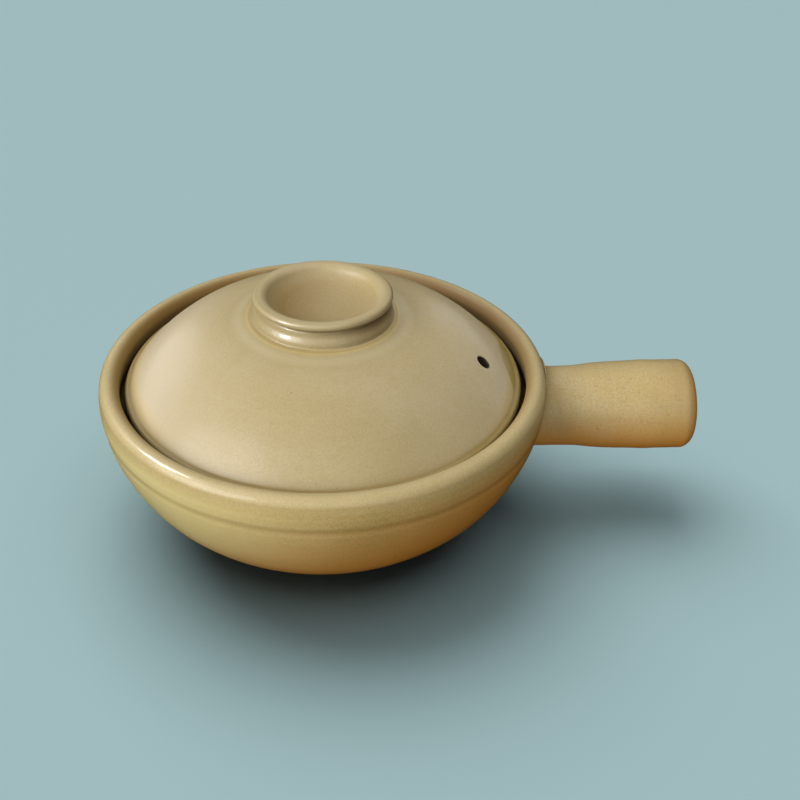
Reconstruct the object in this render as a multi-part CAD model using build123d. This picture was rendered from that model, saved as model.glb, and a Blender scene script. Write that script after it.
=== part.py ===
from build123d import *
import os
from math import acos, asin, atan2, cos, pi, radians, sin, tan

# A lidded clay cooking pot with one straight hollow handle, in millimetres.
# The origin is the centre of the foot, on the floor. +Z is up and +X runs out along the handle.
# Everything but the handle is turned about the pot's upright axis.

# Pot as a whole
pot_height = 77.0            # floor to the top of the rim
clearance = 0.3              # between the lid and what it rests on

# Bowl, outside
belly_radius = 105.4         # widest radius
belly_drop = 10.7            # rim top down to the height of the widest radius
belly_overshoot = 3.6        # how far below the floor the belly curve would close
belly_side_power = 3.2       # how long the side stays upright, as a power
belly_floor_power = 1.6      # how early the curve turns in to the foot, as a power
belly_points = 12            # points along each belly curve
curve_digits = 12            # decimals kept of a cosine or sine
foot_radius = 52.0
foot_ring_width = 9.0
foot_recess = 1.2            # how far the middle of the foot is hollowed
foot_chamfer = 0.5

# Bowl, rim and lid seat
rim_inset = 0.4              # how far the rolled rim stands in from the widest radius
rim_thickness = 9.2
throat_wall = 8.2            # rim's outer edge to the inner wall beside the lid's edge
seat_drop = 16.0             # rim top down to the ledge that carries the lid
seat_width = 8.3
seat_nose_radius = 1.5
seat_nose_height = 3.2       # ledge top to the lower end of its nose
seat_root_drop = 9.5         # ledge top to where its underside meets the wall
groove_drop = 17.0           # rim top down to the shallow turned line
groove_depth = 0.4
groove_width = 3.6

# Bowl, inside
bowl_wall = 8.0
bowl_floor = 7.5             # floor of the foot ring up to the inside

# Handle
handle_length = 73.2         # bowl's widest radius to the open end
handle_drop = 26.1           # rim top down to the handle's axis
handle_neck_radius = 19.3    # where it leaves the bowl
handle_swell = 2.4           # how much its fattest radius is over the neck's
handle_root_blend = 4.0      # round of the joint with the bowl
handle_end_round = 5.5
handle_lip_round = 2.2       # inner edge of the open end
handle_bore_root = 12.4      # bore radius at the bowl
handle_bore_end = 13.8       # bore radius at the open end
handle_bury = 22.0           # how deep the rod is run into the bowl before it is trimmed to it
# Swell of the handle between neck and fattest, at shares of its length out from the bowl
handle_swell_shares = [
    (0.10, 0.00), (0.24, 0.10), (0.36, 0.52), (0.47, 0.74), (0.58, 0.84), (0.69, 1.00), (0.80, 0.94)
]
handle_shoulder_share = 0.89

# Lid
lid_gap = 3.3                # between the lid's edge and the bowl's inner wall, all round
lid_wall = 6.0
dome_spread = 0.8            # how far past the lid's edge the dome's curve would come down to its base
dome_rise = 37.8             # dome's base up to where the dome would peak
dome_power = 3.4             # how flat the crown is, as a power
dome_points = 9
dome_base = 5.7              # lid's underside up to the dome's base
lid_edge_round = 1.5
lid_roll_width = 2.8         # how far the rolled edge stands out from the foot of the dome
lid_roll_drop = 2.6          # foot of the dome down to the lower end of the edge's roll
collar_clearance = 2.0       # between the lid's collar and the nose of the ledge
collar_width = 5.5
collar_depth = 7.0
collar_round = 1.2
vent_radius = 3.4
vent_inset = 18.0            # lid's edge in to the steam hole
vent_angle = -12.8           # degrees round from the handle, towards the front

# Knob, a thrown cup set on the lid's flat crown
knob_foot_radius = 34.0
knob_waist_radius = 28.8
knob_waist_height = 7.4
# Knob's foot between crown and waist: shares of the step in from foot to waist, and of the waist's height
knob_foot_shares = [(0.21, 0.20), (0.29, 0.46), (0.55, 0.73)]
knob_lip_radius = 32.2
knob_height = 13.2           # crown up to the top of the lip
knob_lip_round = 1.8
knob_lip_flat = 1.8          # level part of the lip between its two rounds
knob_mouth_round = 4.0       # lip's round into the hollow
knob_mouth_slope = 55.0      # degrees down at which that round meets the hollow's side
knob_floor = 3.8             # crown up to the bottom of the hollow

overrun = 5.0                # how far a cutting tool runs past what it cuts

# Worked out from the sizes above
belly_height = pot_height - belly_drop
belly_depth = belly_height + belly_overshoot
rim_radius = belly_radius - rim_inset
rim_round = rim_thickness / 2
throat_radius = rim_radius - throat_wall
seat_height = pot_height - seat_drop
seat_nose = throat_radius - seat_width
handle_reach = belly_radius + handle_length
handle_height = pot_height - handle_drop
handle_radius = handle_neck_radius + handle_swell
lid_radius = throat_radius - lid_gap
lid_bottom = seat_height + clearance
lid_middle = lid_bottom + dome_base
dome_radius = lid_radius + dome_spread
collar_radius = seat_nose - collar_clearance
vent_reach = lid_radius - vent_inset


def at(radius, height):
    """A point of an upright outline, given as distance from the axis and height."""
    return Vector(radius, 0, height)


def turned(*lines):
    """The solid that a closed upright outline makes when it is turned about the pot's axis."""
    return revolve(make_face(list(lines)), axis=Axis.Z)


def belly_angle(radius, side_radius):
    """How far round the belly curve a given radius lies, from the widest point down."""
    return acos((radius / side_radius) ** (belly_side_power / 2))


def belly_point(angle, side_radius, depth):
    """A point of the belly curve: an ellipse with fuller shoulders, exact at both of its ends."""
    outward = round(cos(angle), curve_digits) ** (2 / belly_side_power)
    downward = round(sin(angle), curve_digits) ** (2 / belly_floor_power)
    return at(side_radius * outward, belly_height - depth * downward)


def belly_angle_at(height, depth):
    """How far round the belly curve a given height lies, from the widest point down."""
    return asin(((belly_height - height) / depth) ** (belly_floor_power / 2))


def belly_curve(first, last, side_radius, depth):
    """The belly curve from one angle to another, as one smooth line."""
    steps = [first + (last - first) * i / belly_points for i in range(belly_points + 1)]
    return Spline(*[belly_point(angle, side_radius, depth) for angle in steps])


def rim_side():
    """Outline from the bowl's widest point up to the rim's outer edge."""
    widest = at(belly_radius, belly_height)
    return Spline(widest, at(rim_radius, pot_height - rim_round), tangents=[(0, 0, 1), (0, 0, 1)])


def bowl_outside():
    """Outline of the bowl's outside from the foot up to the rim's outer edge, with its turned line."""
    groove = pot_height - groove_drop
    foot = belly_angle(foot_radius, belly_radius)
    below = belly_angle_at(groove - groove_width / 2, belly_depth)
    above = belly_angle_at(groove + groove_width / 2, belly_depth)
    lower = belly_curve(foot, below, belly_radius, belly_depth)
    upper = belly_curve(above, 0, belly_radius, belly_depth)
    middle = belly_point(belly_angle_at(groove, belly_depth), belly_radius, belly_depth)
    line = ThreePointArc(lower @ 1, middle - Vector(groove_depth, 0, 0), upper @ 0)
    return [lower, line, upper, rim_side()]


def bowl_filled():
    """The bowl's outer shape with no hollow and no turned line, which trims the handle's root."""
    curve = belly_curve(belly_angle(foot_radius, belly_radius), 0, belly_radius, belly_depth)
    side = rim_side()
    rim_top = at(rim_radius - rim_round, pot_height)
    bend = rim_round * (1 - sin(pi / 4))
    rim = ThreePointArc(side @ 1, at(rim_radius - bend, pot_height - bend), rim_top)
    foot_top = curve @ 0
    lines = Polyline(rim_top, at(0, pot_height), at(0, foot_top.Z), foot_top)
    return turned(curve, side, rim, *lines.edges())


def make_bowl():
    outside = bowl_outside()
    rim_outer = outside[-1] @ 1
    rim_inner = at(rim_radius - rim_thickness, pot_height - rim_round)
    rim = ThreePointArc(rim_outer, at(rim_radius - rim_round, pot_height), rim_inner)

    nose_top = at(seat_nose + seat_nose_radius, seat_height)
    nose_side = at(seat_nose, seat_height - seat_nose_radius)
    nose_turn = seat_nose_radius * (1 - sin(pi / 4))
    nose = ThreePointArc(nose_top, at(seat_nose + nose_turn, seat_height - nose_turn), nose_side)
    throat = Polyline(rim_inner, at(throat_radius, seat_height), nose_top)

    hollow_radius = belly_radius - bowl_wall
    hollow_depth = belly_height - bowl_floor
    under_seat = belly_angle_at(seat_height - seat_root_drop, hollow_depth)
    hollow = belly_curve(under_seat, pi / 2, hollow_radius, hollow_depth)
    under = Polyline(nose_side, at(seat_nose, seat_height - seat_nose_height), hollow @ 0)

    foot_top = outside[0] @ 0
    ring_inner = foot_radius - foot_ring_width
    foot = Polyline(
        at(0, bowl_floor),
        at(0, foot_recess),
        at(ring_inner - foot_recess, foot_recess),
        at(ring_inner, 0),
        at(foot_radius - foot_chamfer, 0),
        at(foot_radius, foot_chamfer),
        foot_top,
    )
    return turned(*outside, rim, *throat.edges(), nose, *under.edges(), hollow, *foot.edges())


def handle_root():
    """Where the handle's axis meets the bowl's outside, as a distance from the pot's axis."""
    return belly_point(belly_angle_at(handle_height, belly_depth), belly_radius, belly_depth).X


def along_handle(share, radius):
    """A point of the handle's outline, at a share of its length out from the bowl."""
    root = handle_root()
    return Vector(root + share * (handle_reach - root), 0, handle_height + radius)


def handle_rod():
    """The handle's outside, run into the bowl so that it can be trimmed."""
    root = handle_root()
    body = [
        along_handle(share, handle_neck_radius + handle_swell * part)
        for share, part in handle_swell_shares
    ]
    shoulder = along_handle(handle_shoulder_share, handle_radius)
    start = Vector(root - handle_bury, 0, handle_height + handle_neck_radius)
    end_top = Vector(handle_reach - handle_end_round, 0, handle_height + handle_radius)
    end_side = Vector(handle_reach, 0, handle_height + handle_radius - handle_end_round)
    bend = handle_end_round * sin(pi / 4)
    middle = Vector(end_top.X + bend, 0, end_side.Z + bend)
    side = Spline(start, *body, shoulder, end_top, tangents=[(1, 0, 0), (1, 0, 0)])
    corner = ThreePointArc(end_top, middle, end_side)
    close = Polyline(end_side, (handle_reach, 0, handle_height), (start.X, 0, handle_height), start)
    axis = Axis((0, 0, handle_height), (1, 0, 0))
    return revolve(make_face([side, corner, *close.edges()]), axis=axis)


def handle_bore():
    """The hollow of the handle, from inside the bowl's wall out past its open end."""
    root = handle_root()
    start = Vector(root - handle_bury - overrun, 0, handle_height + handle_bore_root)
    lip_start = Vector(handle_reach - handle_lip_round, 0, handle_height + handle_bore_end)
    lip_end = Vector(handle_reach, 0, handle_height + handle_bore_end + handle_lip_round)
    bend = handle_lip_round * (1 - sin(pi / 4))
    middle = Vector(handle_reach - bend, 0, lip_end.Z - handle_lip_round + bend)
    wall = Polyline(start, lip_start)
    lip = ThreePointArc(lip_start, middle, lip_end)
    past = handle_reach + overrun
    close = Polyline(
        lip_end, (past, 0, lip_end.Z), (past, 0, handle_height), (start.X, 0, handle_height), start
    )
    axis = Axis((0, 0, handle_height), (1, 0, 0))
    return revolve(make_face([*wall.edges(), lip, *close.edges()]), axis=axis)


def make_handle():
    """A thrown tube whose root is trimmed to the bowl and rounded into it.

    Body and rod start their turns on the sides that face away from the joint, which keeps its rounding whole."""
    half_turn = 180
    body = bowl_filled().rotate(Axis.Z, half_turn)
    rod = handle_rod().rotate(Axis((0, 0, handle_height), (1, 0, 0)), half_turn)
    joined = body + rod
    rounded = fillet(new_edges(body, rod, combined=joined), handle_root_blend)
    return rounded - body - handle_bore()


def dome_height(radius):
    """Height of the dome's outside at a distance from the axis."""
    return lid_middle + dome_rise * (1 - (radius / dome_radius) ** dome_power)


def dome_lean(radius):
    """How far the dome's outward direction leans over from upright, in radians."""
    fall = dome_rise * dome_power * (radius / dome_radius) ** (dome_power - 1) / dome_radius
    return atan2(fall, 1)


def dome_point(radius, depth):
    """A point a given depth under the dome's outside."""
    lean = dome_lean(radius)
    return at(radius - depth * sin(lean), dome_height(radius) - depth * cos(lean))


def dome_curve(first, last, depth):
    """The dome's outline between two distances from the axis, at a depth under its outside."""
    steps = [first + (last - first) * i / dome_points for i in range(dome_points + 1)]
    return Spline(*[dome_point(radius, depth) for radius in steps])


def make_lid():
    crown = dome_height(knob_foot_radius)
    outside = dome_curve(knob_foot_radius, lid_radius - lid_roll_width, 0)
    seat = Polyline(at(0, crown), at(knob_foot_radius, crown))
    dome_foot = outside @ 1
    roll_end = at(lid_radius, dome_foot.Z - lid_roll_drop)
    roll = Bezier(dome_foot, at(lid_radius, dome_foot.Z), roll_end)
    edge_side = at(lid_radius, lid_bottom + lid_edge_round)
    edge_foot = at(lid_radius - lid_edge_round, lid_bottom)
    edge_bend = lid_edge_round * (1 - sin(pi / 4))
    edge = ThreePointArc(edge_side, at(lid_radius - edge_bend, lid_bottom + edge_bend), edge_foot)

    collar_top = at(collar_radius, lid_bottom)
    collar_foot = lid_bottom - collar_depth
    collar_inner = collar_radius - collar_width
    collar_bend = collar_round * (1 - sin(pi / 4))
    outer_low = at(collar_radius, collar_foot + collar_round)
    outer_foot = at(collar_radius - collar_round, collar_foot)
    collar_edge = ThreePointArc(
        outer_low, at(collar_radius - collar_bend, collar_foot + collar_bend), outer_foot
    )
    inner_foot = at(collar_inner + collar_round, collar_foot)
    inner_low = at(collar_inner, collar_foot + collar_round)
    inner_edge = ThreePointArc(
        inner_foot, at(collar_inner + collar_bend, collar_foot + collar_bend), inner_low
    )
    inside = dome_curve(collar_radius, 0, lid_wall)
    under_start = inside @ 0
    under_end = inside @ 1
    lid = turned(
        seat,
        outside,
        roll,
        *Polyline(roll_end, edge_side).edges(),
        edge,
        *Polyline(edge_foot, collar_top, outer_low).edges(),
        collar_edge,
        *Polyline(outer_foot, inner_foot).edges(),
        inner_edge,
        *Polyline(inner_low, under_start).edges(),
        inside,
        *Polyline(under_end, at(0, crown)).edges(),
    )
    return lid - make_vent()


def make_vent():
    """The round steam hole, square to the dome where it is pierced."""
    lean = dome_lean(vent_reach)
    round_pot = radians(vent_angle)
    outward = Vector(sin(lean) * cos(round_pot), sin(lean) * sin(round_pot), cos(lean))
    mouth = Vector(vent_reach * cos(round_pot), vent_reach * sin(round_pot), dome_height(vent_reach))
    length = lid_wall + 2 * overrun
    middle = mouth - outward * (lid_wall / 2)
    return Plane(origin=middle, z_dir=outward) * Cylinder(vent_radius, length)


def mouth_point(mouth_top, turn):
    """A point of the round that leads from the knob's lip down into its hollow, after a turn in radians."""
    return mouth_top - Vector(knob_mouth_round * sin(turn), 0, knob_mouth_round * (1 - cos(turn)))


def make_knob():
    crown = dome_height(knob_foot_radius)
    lip_middle = crown + knob_height - knob_lip_round
    step_in = knob_foot_radius - knob_waist_radius
    foot_low = at(knob_foot_radius, crown)
    foot = [
        at(knob_foot_radius - step_in * inward, crown + knob_waist_height * up)
        for inward, up in knob_foot_shares
    ]
    waist = at(knob_waist_radius, crown + knob_waist_height)
    lip_under = at(knob_lip_radius - knob_lip_round, lip_middle - knob_lip_round)
    side = Spline(foot_low, *foot, waist, lip_under)

    lip_outer = at(knob_lip_radius, lip_middle)
    lip_top = at(knob_lip_radius - knob_lip_round, crown + knob_height)
    lip_bend = knob_lip_round * sin(pi / 4)
    lip_side_under = at(lip_under.X + lip_bend, lip_middle - lip_bend)
    lip_side_over = at(lip_under.X + lip_bend, lip_middle + lip_bend)
    lower_lip = ThreePointArc(lip_under, lip_side_under, lip_outer)
    upper_lip = ThreePointArc(lip_outer, lip_side_over, lip_top)
    mouth_top = at(lip_top.X - knob_lip_flat, crown + knob_height)
    slope = radians(knob_mouth_slope)
    mouth_middle = mouth_point(mouth_top, slope / 2)
    mouth_low = mouth_point(mouth_top, slope)
    mouth = ThreePointArc(mouth_top, mouth_middle, mouth_low)
    hollow_floor = at(0, crown + knob_floor)
    side_run = (mouth_low.Z - hollow_floor.Z) / tan(slope)
    hollow = Bezier(mouth_low, at(mouth_low.X - side_run, hollow_floor.Z), hollow_floor)
    return turned(
        side,
        lower_lip,
        upper_lip,
        *Polyline(lip_top, mouth_top).edges(),
        mouth,
        hollow,
        *Polyline(hollow_floor, at(0, crown), foot_low).edges(),
    )


pieces = {
    "bowl": make_bowl(),
    "hollow_handle": make_handle(),
    "lid": make_lid(),
    "cup_knob": make_knob(),
}

os.makedirs("parts", exist_ok=True)
for name, piece in pieces.items():
    piece.label = name
    export_step(piece, f"parts/{name}.step")
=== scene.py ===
import math

import bpy
from mathutils import Matrix, Vector, noise


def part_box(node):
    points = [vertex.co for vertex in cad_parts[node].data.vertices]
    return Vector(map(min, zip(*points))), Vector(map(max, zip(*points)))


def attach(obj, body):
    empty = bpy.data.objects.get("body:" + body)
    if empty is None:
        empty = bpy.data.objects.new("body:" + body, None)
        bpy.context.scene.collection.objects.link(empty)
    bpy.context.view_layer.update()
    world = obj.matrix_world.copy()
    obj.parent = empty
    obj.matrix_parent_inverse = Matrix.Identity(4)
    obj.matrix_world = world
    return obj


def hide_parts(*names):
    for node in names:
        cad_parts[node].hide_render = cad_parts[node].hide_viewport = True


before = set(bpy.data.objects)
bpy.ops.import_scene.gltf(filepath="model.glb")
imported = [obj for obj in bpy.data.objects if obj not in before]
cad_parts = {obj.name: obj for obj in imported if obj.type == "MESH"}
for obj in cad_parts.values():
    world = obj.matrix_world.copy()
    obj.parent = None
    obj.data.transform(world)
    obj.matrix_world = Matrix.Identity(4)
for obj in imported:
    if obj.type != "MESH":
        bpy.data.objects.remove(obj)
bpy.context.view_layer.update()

# Lengths are in metres. The pot's turning axis is the Z axis and the floor is z = 0.
MM = 0.001
bowl_low, bowl_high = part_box("bowl")
handle_low, handle_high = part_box("hollow_handle")
lid_low, lid_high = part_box("lid")
knob_low, knob_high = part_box("cup_knob")

# Turned surfaces
turns = 240                                  # columns round a turned piece
wobble = 0.12 * MM                           # how far a hand-thrown wall strays from round
wobble_lobes = 1.3                           # how often that changes on the way round
wobble_height = 60 * MM                      # and how soon it does on the way up
inset = 0.2 * MM                             # keeps the straying inside the solids' box
ring_width = 6 * MM                          # the uneven rings that fingers leave, and finer ones on them
fine_ring_width = 2.4 * MM
same_point = 0.01 * MM                       # points of an outline that are nearer than this are one

# Bowl, read from the frame where it gives the size
belly_radius = -bowl_low[1] - inset
rim_top = bowl_high[2] - 0.1 * MM
belly_height = rim_top - 10.7 * MM
belly_depth = 69.9 * MM
belly_side_power = 3.2
belly_floor_power = 1.6
rim_radius = belly_radius - 0.4 * MM
rim_thickness = 9.2 * MM
rim_side_bend = 2 * MM
throat_radius = rim_radius - 8.2 * MM
seat_height = rim_top - 16.0 * MM
seat_nose = throat_radius - 8.3 * MM
seat_nose_round = 1.5 * MM
seat_nose_height = 3.2 * MM
seat_root_drop = 9.5 * MM
seat_root_bend = (1.2 * MM, 1.6 * MM)        # how far out and down the line under the nose bends
seat_corner = 1.0 * MM
bowl_wall = 8.0 * MM
bowl_floor = 7.5 * MM
foot_radius = 52.0 * MM
foot_ring_width = 9.0 * MM
foot_recess = 1.2 * MM
foot_round = 0.5 * MM
glaze_line = 2.6 * MM                        # height at which the glaze stops above the floor
glaze_thickness = 0.25 * MM
glaze_edge = 0.5 * MM                        # height over which the glaze runs out
groove_height = rim_top - 17.0 * MM
groove_depth = 0.28 * MM
groove_width = 2.1 * MM
bowl_rings_inside = 0.10 * MM                # how deep the throwing rings are
bowl_rings_outside = 0.05 * MM

# Handle
handle_end = handle_high[0] - 0.1 * MM
handle_height = rim_top - 26.0 * MM
handle_neck = 19.3 * MM
handle_swell = 2.4 * MM
handle_blend = 4.5 * MM
handle_end_round = 6.5 * MM
handle_end_slant = 0.02                      # the end was cut a little slanting, shorter at the top
handle_slant_length = 25 * MM
handle_lip_round = 2.2 * MM
handle_bore_root = 12.4 * MM
handle_bore_end = 13.8 * MM
handle_sink = 0.3 * MM                       # how far the root reaches into the bowl's wall
handle_oval = 0.004                          # how far from round it is, as a share of its radius
handle_oval_turn = 30 * MM                   # how soon that turns along its length
handle_rings = 0.10 * MM
handle_rings_bore = 0.12 * MM
handle_columns = 96
handle_steps = 60                            # along its swelling line
handle_clear = 0.5 * MM                      # kept free of points at both ends of that line
# Swell between neck and fattest, at shares of the handle's length out from the bowl
handle_swell_shares = [
    (-0.30, 0.00), (0.00, 0.00), (0.10, 0.00), (0.24, 0.10), (0.36, 0.52),
    (0.47, 0.74), (0.58, 0.84), (0.69, 1.00), (0.80, 0.94), (0.93, 0.97),
]

# Lid
lid_radius = lid_high[0] - inset
lid_collar_foot = lid_low[2]
collar_depth = 7.0 * MM
lid_bottom = lid_collar_foot + collar_depth
lid_middle = lid_bottom + 5.7 * MM
dome_radius = lid_high[0] + 0.8 * MM
dome_rise = 37.8 * MM
dome_power = 3.4
lid_wall = 6.0 * MM
lid_roll_width = 2.8 * MM                    # how far the rolled edge stands out from the foot of the dome
lid_roll_drop = 2.6 * MM
dome_foot = lid_radius - lid_roll_width
crease_width = 0.5 * MM                      # the crease between the dome and the rolled edge
crease_depth = 0.3 * MM
lid_edge_round = 1.5 * MM
collar_radius = seat_nose - 2.0 * MM
collar_width = 5.5 * MM
collar_round = 1.2 * MM
collar_corner = 0.8 * MM
collar_root_bend = (0.5 * MM, 4 * MM)        # how far out and down its inside bends into the dome
lid_rings = 0.035 * MM
lid_rings_under = 0.08 * MM
dome_steps = 100
under_steps = 80
fillet_start = 43.0 * MM                     # where the dome starts to rise to the knob's foot
fillet_rise = 1.2 * MM
vent_radius = 3.4 * MM
vent_round = 0.5 * MM
vent_reach = 75.5 * MM
vent_angle = math.radians(-12.8)
vent_rows = 5                                # rows and columns of the mesh that make room on each side
vent_columns = 3
vent_nearby = 9                              # rows on each side whose line its mouth is fitted to
vent_loop_shares = (0.66, 0.33, 0.0)         # loops between that room and the mouth
vent_round_turns = (22.5, 45, 67.5, 90)      # loops round the mouth's edge, in degrees
drop_reach = 6 * MM                          # farthest that a point of the mouth is from the surface
drop_halvings = 40

# Knob
knob_foot_radius = knob_high[0] - inset
knob_crown = knob_low[2]
knob_top = knob_high[2] - 0.75 * MM
knob_lip_radius = 32.2 * MM
knob_lip_round = 1.6 * MM
knob_lip_flat = 1.6 * MM
knob_mouth_round = 4.4 * MM
knob_mouth_slope = math.radians(55)
knob_waist_radius = 28.8 * MM
knob_waist_height = 7.4 * MM
knob_foot_shares = [(0.21, 0.20), (0.29, 0.46), (0.55, 0.73)]
knob_edge = 0.1 * MM
knob_floor = knob_crown + 3.8 * MM
knob_tilt = math.radians(1.2)                # the knob's lip stands a little higher in front
spiral_pitch = 3.6 * MM                      # spiral that a finger left in the hollow
spiral_height = 0.06 * MM
spiral_inner = 3 * MM                        # it has grown to its height here
spiral_outer = 24 * MM                       # it ends here, and fades over the last stretch
spiral_fade = 8 * MM
spiral_lowest = knob_crown + 1 * MM
spiral_uneven = 0.25                         # how much its pitch changes, and over which distance
spiral_drift = 7 * MM


def arc(centre, radius, start, stop, count):
    """Points of an arc in an upright outline, from one angle in degrees to another."""
    steps = [math.radians(start + (stop - start) * i / count) for i in range(count + 1)]
    return [(centre[0] + radius * math.cos(a), centre[1] + radius * math.sin(a)) for a in steps]


def straight(first, last, count):
    """Evenly spaced points from first to last."""
    return [
        (first[0] + (last[0] - first[0]) * i / count, first[1] + (last[1] - first[1]) * i / count)
        for i in range(count + 1)
    ]


def bent(first, corner, last, count):
    """Points of a curve that leaves first towards corner and reaches last from it."""
    points = []
    for i in range(count + 1):
        t = i / count
        weights = ((1 - t) ** 2, 2 * t * (1 - t), t**2)
        points.append(tuple(sum(w * p[k] for w, p in zip(weights, (first, corner, last))) for k in (0, 1)))
    return points


def through(points, count):
    """A smooth line through points, with count steps between each two."""
    ends = [points[0], *points, points[-1]]
    line = []
    for a, b, c, d in zip(ends, ends[1:], ends[2:], ends[3:]):
        for i in range(count):
            t = i / count
            line.append(tuple(
                0.5 * (2 * b[k] + (c[k] - a[k]) * t + (2 * a[k] - 5 * b[k] + 4 * c[k] - d[k]) * t**2
                       + (3 * b[k] - a[k] - 3 * c[k] + d[k]) * t**3)
                for k in (0, 1)
            ))
    return [*line, points[-1]]


def joined(*stretches):
    """One outline from stretches that meet, without the doubled points where they do."""
    outline = [stretches[0][0]]
    for stretch in stretches:
        for point in stretch:
            if math.dist(point, outline[-1]) > same_point:
                outline.append(point)
    return outline


def share(part, whole):
    """part as a share of whole, held between 0 and 1."""
    return min(max(part / whole, 0), 1)


def ring_noise(along, seed):
    """The shallow uneven rings that fingers leave on a thrown wall, as a share of their depth."""
    coarse = noise.noise(Vector((along / ring_width, seed, 0.0)))
    return coarse + 0.5 * noise.noise(Vector((along / fine_ring_width, seed, 4.0)))


def ringed(line, depth, seed):
    """A line of (distance along, height) points with throwing rings on it."""
    return [(along, height + depth * ring_noise(along, seed)) for along, height in line]


def strayed(radius, angle, height, seed):
    """How far a wall strays from round at an angle and a height."""
    place = Vector((math.cos(angle), math.sin(angle), height / wobble_height + seed))
    return wobble * noise.noise(place * wobble_lobes) * radius / belly_radius


def finish_mesh(name, vertices, faces):
    """A smooth-shaded object at the origin from vertices and faces."""
    mesh = bpy.data.meshes.new(name)
    mesh.from_pydata([tuple(v) for v in vertices], [], faces)
    mesh.validate()
    mesh.shade_smooth()
    piece = bpy.data.objects.new(name, mesh)
    bpy.context.scene.collection.objects.link(piece)
    return piece


def turned_grid(outline, seed, first_angle=0.0):
    """The two poles of a turned piece and its rings of vertices, one for each point of the outline."""
    rings = []
    for radius, height in outline[1:-1]:
        ring = []
        for j in range(turns):
            angle = first_angle + 2 * math.pi * j / turns
            r = radius + strayed(radius, angle, height, seed)
            ring.append(Vector((r * math.cos(angle), r * math.sin(angle), height)))
        rings.append(ring)
    poles = [Vector((0, 0, outline[0][1])), Vector((0, 0, outline[-1][1]))]
    return poles, rings


def grid_vertices(poles, rings):
    """The vertices of a turned piece in one list, the two poles first."""
    return [*poles, *(v for ring in rings for v in ring)]


def at(ring, column):
    """Where a vertex of a ring stands in that list."""
    return 2 + ring * turns + column % turns


def grid_faces(ring_count, skip=()):
    """Faces of a turned piece. skip holds the (ring, column) cells that are left open."""
    faces = [(0, at(0, j), at(0, j + 1)) for j in range(turns)]
    for i in range(ring_count - 1):
        columns = [j for j in range(turns) if (i, j) not in skip]
        faces += [(at(i, j), at(i + 1, j), at(i + 1, j + 1), at(i, j + 1)) for j in columns]
    last = ring_count - 1
    return faces + [(1, at(last, j + 1), at(last, j)) for j in range(turns)]


def make_turned(name, outline, seed):
    """A closed turned piece from an outline that runs from the axis round to the axis."""
    poles, rings = turned_grid(outline, seed)
    return finish_mesh(name, grid_vertices(poles, rings), grid_faces(len(rings)))


def belly_at(angle, side, depth):
    """A point of the belly curve, from the widest point down."""
    outward = max(math.cos(angle), 0) ** (2 / belly_side_power)
    downward = max(math.sin(angle), 0) ** (2 / belly_floor_power)
    return side * outward, belly_height - depth * downward


def belly_angle_at(height, depth):
    """How far round the belly curve a height lies."""
    return math.asin(((belly_height - height) / depth) ** (belly_floor_power / 2))


def belly_line(first, last, side, depth, count):
    """Points of the belly curve between two angles."""
    return [belly_at(first + (last - first) * i / count, side, depth) for i in range(count + 1)]


def belly_reach(height):
    """The bowl's outer radius at a height below its widest point."""
    if height >= belly_height:
        return belly_radius
    return belly_at(belly_angle_at(height, belly_depth), belly_radius, belly_depth)[0]


def bowl_outline():
    """From the middle of the inside floor, up the wall, over the rim, down the outside and under the foot.

    The last number of each stretch is how many steps it has, here and in the other outlines."""
    hollow_side = belly_radius - bowl_wall
    hollow_depth = belly_height - bowl_floor
    under_seat = belly_angle_at(seat_height - seat_root_drop, hollow_depth)
    inside = belly_line(math.pi / 2, under_seat, hollow_side, hollow_depth, 110)
    inside = [(max(r + bowl_rings_inside * ring_noise(z, seed=3.0), 0), z) for r, z in inside]
    nose_low = (seat_nose, seat_height - seat_nose_height)
    under_bend = (seat_nose + seat_root_bend[0], nose_low[1] - seat_root_bend[1])
    under = bent(inside[-1], under_bend, nose_low, 8)
    nose = arc((seat_nose + seat_nose_round, seat_height - seat_nose_round), seat_nose_round, 180, 90, 6)
    ledge = straight(nose[-1], (throat_radius - seat_corner, seat_height), 7)
    step = arc((throat_radius - seat_corner, seat_height + seat_corner), seat_corner, 270, 360, 5)
    rim_round = rim_thickness / 2
    rim_centre = (rim_radius - rim_round, rim_top - rim_round)
    throat = straight(step[-1], (rim_centre[0] - rim_round, rim_centre[1]), 12)
    rim = arc(rim_centre, rim_round, 180, 0, 28)
    side_bend = (belly_radius, rim_centre[1] - rim_side_bend)
    side = bent(rim[-1], side_bend, (belly_radius, belly_height), 8)
    foot_angle = math.acos((foot_radius / belly_radius) ** (belly_side_power / 2))
    outside = belly_line(0, foot_angle, belly_radius, belly_depth, 150)
    outside = [shaped_outside(r, z) for r, z in outside]
    foot_side = (foot_radius, foot_round)
    foot_edge = arc((foot_radius - foot_round, foot_round), foot_round, 0, -90, 4)
    ring_inner = foot_radius - foot_ring_width
    foot = straight(foot_edge[-1], (ring_inner, 0), 6)
    recess_end = (ring_inner - 2 * foot_recess, foot_recess)
    recess = bent((ring_inner, 0), (ring_inner - foot_recess, 0), recess_end, 6)
    floor = straight(recess[-1], (0, foot_recess), 20)
    return joined(
        [(0, bowl_floor)], inside, under, nose, ledge, step, throat, rim, side, outside, [foot_side],
        foot_edge, foot, recess, floor
    )


def shaped_outside(radius, height):
    """A point of the bowl's outside with its throwing rings, turned line and step where the glaze stops."""
    r = radius + bowl_rings_outside * ring_noise(height, seed=8.0)
    r -= groove_depth * math.exp(-(((height - groove_height) / groove_width) ** 2))
    return r - glaze_thickness * share(glaze_line - height, glaze_edge), height


def handle_wall(rho, phi):
    """Distance from the pot's axis at which a line along the handle meets the bowl's outside."""
    height = handle_height + rho * math.cos(phi)
    across = rho * math.sin(phi)
    return math.sqrt(belly_reach(height) ** 2 - across**2)


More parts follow.
